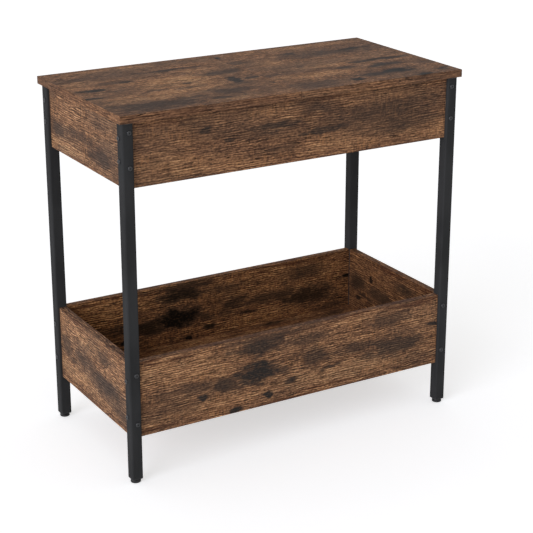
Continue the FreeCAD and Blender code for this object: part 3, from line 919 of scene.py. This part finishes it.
@dataclass
class HingeScrews:
    """Countersunk cross-head screws of the hinges, one set for the apron and one for each lid."""

    head_radius: float = 2.7
    head_rim: float = 0.12
    head_depth: float = 1.2
    core_radius: float = 1.05
    shank_radius: float = 1.5
    collar: float = 1.2  # the plain length under the head
    neck: float = 1.6  # where the shank is down to its core, under the head
    length: float = 10.0
    tip: float = 2.5
    tip_radius: float = 0.08
    sides: int = 24
    smooth_degrees: float = 35.0
    slot_length: float = 3.2
    slot_width: float = 0.62
    slot_depth: float = 0.95
    slot_taper: float = 0.45
    thread: Thread = Thread(middle=1.225, outline=0.32, bottom=2.9, pitch=1.15, turns=5, steps=14)
    left_hinges: Pair = (-225.0, -75.0)
    right_hinges: Pair = (75.0, 225.0)
    row: Triple = (-13.2, 0.0, 13.2)
    apron_face: float = 141.2
    apron_rows: Pair = (527.2, 534.7)
    lid_face: float = 566.8
    lid_rows: Pair = (114.0, 121.5)

    def shape_recess(self) -> Piece:
        """Models the cross that is cut into a head.

        Returns:
            The cross.
        """
        blades = []
        for turn in (0.0, math.pi / 2):
            Bench.clear()
            bpy.ops.mesh.primitive_cube_add(size=1, location=(0, 0, 0), rotation=(0, 0, turn))
            blade = bpy.context.object
            blade.scale = (self.slot_length * MM, self.slot_width * MM, 2 * self.slot_depth * MM)
            Bench.settle(blade)
            bpy.ops.object.mode_set(mode="EDIT")
            bpy.ops.mesh.select_mode(type="VERT")
            bpy.ops.mesh.select_all(action="DESELECT")
            Bench.leave()
            for vertex in blade.data.vertices:
                vertex.select = vertex.co.z > 0
            bpy.ops.object.mode_set(mode="EDIT")
            taper = (self.slot_taper, self.slot_taper, 1)
            bpy.ops.transform.resize(value=taper, center_override=(0, 0, 0))
            Bench.leave()
            blades.append(blade)
        Bench.combine(*blades, "UNION")
        return blades[0]

    def shape_screw(self) -> Piece:
        """Models one screw with its head's face at zero and its shank going up.

        Returns:
            The screw.
        """
        outline = (
            (self.head_radius - self.head_rim, 0.0),
            (self.head_radius, self.head_rim),
            (self.shank_radius, self.head_depth),
            (self.shank_radius, self.head_depth + self.collar),
            (self.core_radius, self.head_depth + self.neck),
            (self.core_radius, self.length - self.tip),
            (self.tip_radius, self.length),
        )
        screw = Bench.turned(outline, self.sides)
        Bench.close(screw, self.smooth_degrees)
        Bench.combine(screw, self.shape_recess(), "DIFFERENCE")
        return Bench.joined([screw, self.thread.build()])

    def gather(self, model: Piece, hinges: Sequence[float], in_apron: bool) -> Piece:
        """Sets a copy of the screw at each hole of some hinges and joins them.

        Args:
            model: the screw to copy, which points up as into a lid.
            hinges: each hinge's middle along the table, in millimetres.
            in_apron: whether the screws go into the apron, and not into a lid.

        Returns:
            The joined screws.
        """
        copies = []
        for middle, offset in product(hinges, self.row):
            row = (self.apron_rows if in_apron else self.lid_rows)[offset == 0]
            place = (self.apron_face, row) if in_apron else (row, self.lid_face)
            screw = Bench.copied(model, "hinge_screw")
            screw.rotation_euler.x = math.pi / 2 if in_apron else 0.0
            screw.location = tuple(part * MM for part in (middle + offset, *place))
            copies.append(screw)
        Bench.settle(Bench.joined(copies))
        return copies[0]

    def build(self) -> None:
        """Models one screw and sets it wherever a hinge has one."""
        model = self.shape_screw()
        finish = ZincPlate(name="zinc_plated_screw").build()
        left, right = self.left_hinges, self.right_hinges
        sets = (
            ("hinge_screws_in_apron", "apron_hinge_screws", "table", left + right),
            ("hinge_screws_in_left_lid", "lid_hinge_screws_left", "lid_left_body", left),
            ("hinge_screws_in_right_lid", "lid_hinge_screws_right", "lid_right_body", right),
        )
        for name, node, body, hinges in sets:
            screws = self.gather(model, hinges, body == "table")
            screws.name = name
            finish.dress([screws])
            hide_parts(node)
            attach(screws, body)
            log.info("built %s for %d hinges", name, len(hinges))
        Bench.remove(model)


@dataclass
class Boards:
    """The rustic boards of lids, upper box and bin: the solids keep their shape and get their print."""

    lid_left: Drawing = Drawing(
        marks=(
            (45, 84, 62, 7, 0.75), (-70, 46, 42, 12, 0.5), (-47, 40, 17, 6, 0.85),
            (-122, 13, 27, 8, 0.85), (-138, -34, 15, 6, 0.85), (103, -28, 11, 26, 0.9),
            (100, -56, 34, 10, 0.5), (137, -26, 18, 7, 0.7), (30, -12, 10, 6, 0.65),
            (112, 26, 52, 17, 0.6), (-32, -31, 24, 7, 0.6), (22, -40, 30, 9, 0.5),
            (-70, -114, 110, 30, 0.62), (27, -120, 22, 8, 0.7), (62, -88, 46, 20, 0.6),
            (-118, 88, 50, 12, 0.4), (-82, -6, 34, 7, 0.4), (120, -104, 40, 22, 0.35),
        ),
        glows=(
            (22, 6, 66, 30, 1), (-80, -74, 90, 9, 0.9), (-40, -52, 90, 14, 0.5),
            (-112, 64, 40, 12, 0.7), (75, 60, 40, 10, 0.6), (5, 128, 30, 14, 0.6),
            (58, -134, 40, 8, 0.8), (-60, 134, 60, 8, 0.4),
        ),
        knots=(
            (-120, 12, 16, 5, 0.9), (-141, -35, 10, 4.5, 0.9), (102, -30, 8, 18, 0.8),
            (131, -30, 14, 5, 0.7), (-50, 41, 10, 4.5, 0.8), (32, -11, 7, 4, 0.6),
            (22, -120, 14, 5, 0.7), (44, 86, 22, 4.5, 0.7), (52, -84, 14, 6, 0.5),
        ),
    )
    lid_right: Drawing = Drawing(
        marks=(
            (-147, 122, 14, 12, 0.85), (-28, 90, 14, 9, 0.6), (45, 68, 110, 26, 0.5),
            (86, 77, 44, 8, 0.8), (84, -17, 66, 9, 0.72), (-6, -42, 30, 8, 0.6),
            (68, -56, 40, 11, 0.72), (60, -100, 42, 15, 1), (16, -106, 40, 14, 0.65),
            (-34, -122, 13, 9, 0.9), (79, -143, 14, 7, 0.85), (126, -127, 14, 7, 0.6),
            (-105, -122, 70, 26, 0.42), (-130, -36, 24, 8, 0.45), (-136, 76, 30, 14, 0.45),
            (130, -70, 30, 20, 0.4),
        ),
        glows=(
            (-26, -17, 58, 10, 1.4), (-70, -64, 84, 18, 0.9), (40, 130, 110, 13, 1.3),
            (-92, 40, 30, 26, 0.9), (108, -122, 24, 16, 0.6), (-80, 132, 50, 12, 0.4),
            (30, 14, 80, 12, 0.3),
        ),
        knots=(
            (-33, -122, 8, 7, 0.95), (57, -100, 22, 8, 0.9), (85, -145, 9, 4, 0.9),
            (133, -121, 8, 5, 0.7), (-145, 122, 6, 12, 0.7), (62, -54, 20, 6, 0.6),
            (-10, -42, 13, 5, 0.6), (42, -16, 12, 5, 0.6), (-25, 93, 8, 8, 0.5), (88, 76, 26, 5, 0.55),
        ),
    )
    apron: Drawing = Drawing(
        marks=(
            (-172, 30, 28, 18, 0.42), (-158, 22, 13, 6, 0.9), (-120, 1, 12, 5, 0.7),
            (-35, 11, 50, 8, 0.9), (-70, 4, 66, 11, 0.5), (34, 33, 42, 14, 0.6), (50, -5, 56, 5, 0.95),
            (60, 6, 120, 18, 0.45), (187, 8, 130, 26, 0.6), (200, -12, 96, 20, 0.62),
            (-30, -24, 36, 10, 0.45),
        ),
        glows=(
            (-232, -14, 52, 20, 1), (-180, -30, 80, 12, 0.8), (60, -30, 80, 12, 0.8),
            (262, -30, 30, 16, 1), (215, -32, 18, 9, 0.5), (150, 37, 80, 9, 0.8),
            (-100, -40, 80, 8, 0.5), (-60, 36, 40, 10, 0.35),
        ),
        knots=(
            (-160, 22, 9, 3.5, 1.0), (-122, 1, 8, 4, 0.85), (-30, 10, 22, 3.5, 0.8),
            (60, -7, 34, 2.5, 0.9), (32, 33, 16, 6, 0.5),
        ),
    )
    bin: Drawing = Drawing(
        marks=(
            (-73, -1, 44, 20, 1), (-64, 41, 48, 18, 0.75), (-128, -9, 36, 16, 0.7),
            (-170, -2, 70, 12, 0.45), (38, 3, 36, 18, 0.6), (25, 36, 40, 11, 0.45),
            (-169, -22, 8, 7, 1), (-54, -43, 8, 6, 1), (-105, -57, 9, 7, 1), (-10, -29, 15, 5, 0.75),
            (-20, -8, 18, 9, 0.55), (67, -19, 26, 4, 0.7), (120, 2, 74, 12, 0.52),
            (190, -10, 70, 20, 0.68), (180, 36, 52, 16, 0.5), (272, 12, 16, 4, 1),
            (-225, -30, 76, 18, 0.35), (-60, 55, 76, 7, 0.55), (240, -44, 60, 16, 0.4),
        ),
        glows=(
            (90, -34, 130, 16, 1), (-215, 36, 100, 22, 1), (-150, 14, 70, 8, 0.6),
            (240, 34, 40, 20, 0.6), (110, 50, 90, 6, 0.6), (-150, -40, 60, 12, 0.5),
            (70, 20, 60, 8, 0.3),
        ),
        knots=(
            (-169, -23, 7, 6, 0.95), (-54, -44, 7.5, 5.5, 1.0), (-105, -57, 8, 6, 1.0),
            (274, 12, 15, 3.5, 1.0), (-9, -30, 11, 3.5, 0.6), (64, -19, 12, 2, 0.7),
            (-21, -8, 7, 5, 0.5),
        ),
    )
    side_apron: Drawing = Drawing(
        marks=(
            (102, -12, 28, 18, 0.6), (12, -6, 56, 13, 0.55), (-52, -24, 54, 18, 0.65),
            (-48, 24, 34, 10, 0.5), (-110, -36, 30, 14, 0.42),
        ),
        glows=(
            (70, -36, 90, 12, 1.0), (-70, 4, 60, 7, 0.5), (20, 30, 50, 10, 0.35),
        ),
    )
    side_bin: Drawing = Drawing(
        marks=(
            (104, 6, 30, 20, 0.6), (30, 2, 46, 15, 0.52), (-50, -10, 66, 18, 0.68),
            (-44, 37, 34, 13, 0.52), (-100, -40, 46, 18, 0.45), (74, -14, 26, 4, 0.6),
        ),
        glows=side_apron.glows,
    )
    far_side: Drawing = Drawing(
        marks=side_bin.marks,
        knots=(
            (60, 24, 7, 6, 0.8), (-34, 4, 9, 6, 0.9), (-86, 30, 6, 5, 0.8), (96, -22, 10, 5, 0.7),
        ),
    )
    floor: Drawing = Drawing(
        marks=(
            (116, 118, 40, 9, 0.55), (60, 66, 90, 18, 0.55), (212, 96, 44, 12, 0.42),
            (-30, 34, 70, 16, 0.6), (234, 108, 24, 14, 0.5), (-160, 52, 76, 20, 0.65),
            (-70, -20, 90, 18, 0.5), (130, -16, 64, 16, 0.7), (36, -84, 84, 18, 0.55),
            (-196, -76, 52, 18, 0.6), (214, -90, 48, 14, 0.6),
        ),
        glows=(
            (170, 114, 50, 10, 0.6), (-80, 112, 104, 18, 1.1), (70, 108, 40, 8, 0.8),
            (10, 20, 120, 14, 0.8), (-120, -54, 110, 14, 0.8), (150, -52, 90, 12, 0.7),
            (-230, 6, 50, 24, 0.7),
        ),
        knots=(
            (124, 119, 11, 3.2, 0.95), (103, 121, 8, 2.8, 0.9), (-152, 50, 10, 7, 0.9),
            (128, -14, 12, 6, 0.85), (-66, -24, 9, 6, 0.8), (40, -86, 11, 5, 0.85),
            (-204, -72, 8, 6, 0.8),
        ),
    )
    lid_core: Tone = Tone(37, 35, 34)
    # painted shade: a darker smear core for the boards inside the bin
    shaded_core: Tone = Tone(25, 21, 18)
    # painted cool light: a bluish tint over the whole print of the side boards, which face the side lamp
    painted_cool_light_tint: Colour = (1.0, 1.03, 1.07, 1.0)
    # painted shade: a warmer, darker tint over the whole print of the bin's floor, which lies in shade
    warm: Colour = (1.0, 0.95, 0.84, 1.0)
    # painted shade: a darker, browner tint over the whole print of the bin's back and right boards, whose
    # inner faces lie in shade
    painted_shade_tint: Colour = (1.0, 0.93, 0.77, 1.0)

    def dress(self) -> None:
        """Gives each board the print of its own place in the table, with painted light and shade: cool
        light on the side boards, shade on the boards inside the bin and partly on the lids' tops. The
        boards' order sets their seeds.
        """
        # The lids' negative drift is partly the print's own darker tone and partly painted shade on their
        # top faces.
        lid = RusticLaminate(
            Lay.LONG_FLAT, self.lid_left, drift=-0.06, greyness=0.40, band_lift=-0.03, edge_grit=0.55,
            soot=1.08, figure=1.6, grit=1.2, stripes=0.2, sheen=0.04, glow_gain=0.26, core=self.lid_core,
        )
        long_apron = RusticLaminate(Lay.LONG_UPRIGHT, self.apron, drift=-0.02, stripes=0.45, soot=0.7)
        long_bin = RusticLaminate(Lay.LONG_UPRIGHT, self.bin, drift=0.03, greyness=0.28, grit=1.18)
        # The side boards' cool tint is painted cool light from the side lamp.
        side = RusticLaminate(Lay.SIDE_UPRIGHT, self.side_bin, drift=0.05, greyness=0.55, tint=self.painted_cool_light_tint)
        side_apron = replace(side, drawing=self.side_apron, stripes=0.45, soot=0.84)
        floor = RusticLaminate(Lay.LONG_FLAT, self.floor, greyness=0.25, stripes=0.45)
        # The far side board's tint is painted shade.
        far_side = replace(side, drawing=self.far_side, tint=self.painted_shade_tint)
        # Painted shade for the boards inside the bin: no grey ash and a darker smear core.
        shaded = {"greyness": 0.0, "core": self.shaded_core}
        styles = {
            "lid_left": lid,
            "lid_right": replace(lid, drawing=self.lid_right, drift=-0.12, soot=1.25),
            "apron_front": replace(long_apron, grit=0.87),
            "apron_back": long_apron,
            "bin_front": long_bin,
            "bin_back": replace(long_bin, drift=-0.05, grit=1.3, soot=1.12, tint=self.painted_shade_tint, **shaded),
            "apron_left": side_apron,
            "apron_right": side_apron,
            "bin_left": replace(side, grit=1.3, soot=0.82),
            "bin_right": replace(far_side, drift=-0.10, soot=1.15, **shaded),
            "apron_floor": floor,
            # The bin floor's warm tint and its shaded settings are painted shade.
            "bin_floor": replace(floor, drift=-0.03, grit=1.3, stripes=0.8, tint=self.warm, **shaded),
        }
        for seed, (name, style) in enumerate(styles.items(), start=1):
            BoardPrint(style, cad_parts[name], float(seed)).paint()


@dataclass
class Hardware:
    """Posts, plastic parts, hinges and fasteners, which keep their solids.

    A node gets the first finish that has one of its words in the node's name.
    """

    finishes: tuple[tuple[FleckedFinish, tuple[str, ...]], ...] = (
        (MouldedPlastic(), ("post_cap", "foot_socket", "screw_foot")),
        (BlackOxide(), ("_bolts",)),
        (ZincPlate(), ("_inserts", "screws", "hinge_pin")),
        (TurnedHardwood(), ("_dowels",)),
        (SoftDisc(), ("lid_bumpers",)),
        (PowderCoat(), ("post_", "hinge_")),
    )

    def dress(self) -> None:
        """Puts each finish on the pieces that have it."""
        left = dict(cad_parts)
        for finish, words in self.finishes:
            names = [name for name in left if any(word in name for word in words)]
            finish.build().dress(left.pop(name) for name in names)
            log.info("dressed %d pieces with %s", len(names), finish.name)


@dataclass(frozen=True)
class Lamp:
    """A broad far lamp: where its light comes from, its strength, its spread in degrees, its colour."""

    name: str
    source: Triple
    strength: float
    spread: float
    tint: Colour = WHITE

    def hang(self) -> None:
        """Adds the lamp to the scene."""
        data = bpy.data.lights.new(self.name, "SUN")
        data.energy = self.strength
        data.angle = math.radians(self.spread)
        data.color = self.tint[:3]
        lamp = bpy.data.objects.new(self.name, data)
        bpy.context.scene.collection.objects.link(lamp)
        lamp.rotation_euler = Vector(self.source).to_track_quat("Z", "Y").to_euler()
        log.info("hung the lamp %s", self.name)


@dataclass
class Studio:
    """Pale floor, soft lights and the camera."""

    floor_size: float = 14.0
    floor_tone: Tone = Tone(238, 238, 238)
    floor_glow: float = 0.55
    sky_strength: float = 0.40
    overhead: Lamp = Lamp("overhead_softbox", (-0.25, 0.35, 1.0), 0.15, 50.0)
    side: Lamp = Lamp("side_softbox", (-0.87, -0.40, 0.28), 1.69, 45.0, (0.98, 1.005, 1.12, 1.0))
    camera_place: Triple = (-1.1667, -2.0204, 1.1006)
    camera_turn: float = -30.583
    camera_dip: float = -19.105
    lens: float = 101.89
    sensor: float = 36.0
    shift_up: float = -0.04

    def lay_floor(self) -> None:
        """Adds the plain pale floor, which looks white where nothing shades it."""
        Bench.clear()
        bpy.ops.mesh.primitive_plane_add(size=self.floor_size, location=(0, 0, 0))
        floor = bpy.context.object
        floor.name = "studio_floor"
        material = bpy.data.materials.new("pale_studio_floor")
        material.use_nodes = True
        graph = Graph(material.node_tree)
        graph.nodes.clear()
        paint = graph.add("ShaderNodeBsdfDiffuse", {"Color": self.floor_tone.linear()}).outputs[0]
        glow = graph.add("ShaderNodeEmission", {"Color": WHITE, "Strength": self.floor_glow}).outputs[0]
        both = graph.add("ShaderNodeAddShader", {0: paint, 1: glow}).outputs[0]
        seen = graph.seen_directly()
        choice = graph.add("ShaderNodeMixShader", {0: seen, 1: paint, 2: both}).outputs[0]
        graph.add("ShaderNodeOutputMaterial", {"Surface": choice})
        floor.data.materials.append(material)
        log.info("laid the studio floor")

    def set_sky(self) -> None:
        """Lights the scene evenly from all round, in white for the camera."""
        world = bpy.data.worlds.new("studio_sky")
        bpy.context.scene.world = world
        world.use_nodes = True
        graph = Graph(world.node_tree)
        range_of = {"Value": graph.seen_directly(), "To Min": self.sky_strength, "To Max": 1.0}
        strength = graph.add("ShaderNodeMapRange", range_of).outputs[0]
        graph.fill(graph.nodes["Background"], {"Color": WHITE, "Strength": strength})

    def set_camera(self) -> None:
        """Adds the camera at the photograph's viewing angle."""
        data = bpy.data.cameras.new("camera")
        camera = bpy.data.objects.new("camera", data)
        bpy.context.scene.collection.objects.link(camera)
        camera.location = self.camera_place
        camera.rotation_euler = (math.radians(90 + self.camera_dip), 0, math.radians(self.camera_turn))
        data.lens = self.lens
        data.sensor_width = self.sensor
        data.shift_y = self.shift_up
        bpy.context.scene.camera = camera

    def build(self) -> None:
        """Sets up the whole studio."""
        bpy.context.scene.view_settings.view_transform = "Standard"
        self.lay_floor()
        self.set_sky()
        self.overhead.hang()
        self.side.hang()
        self.set_camera()


def main() -> None:
    """Dresses the table and sets up the studio."""
    logging.basicConfig(level=logging.INFO, format="%(message)s")
    Boards().dress()
    Hardware().dress()
    ScrewFeet().build()
    HingeScrews().build()
    Studio().build()


if __name__ == "__main__":
    main()
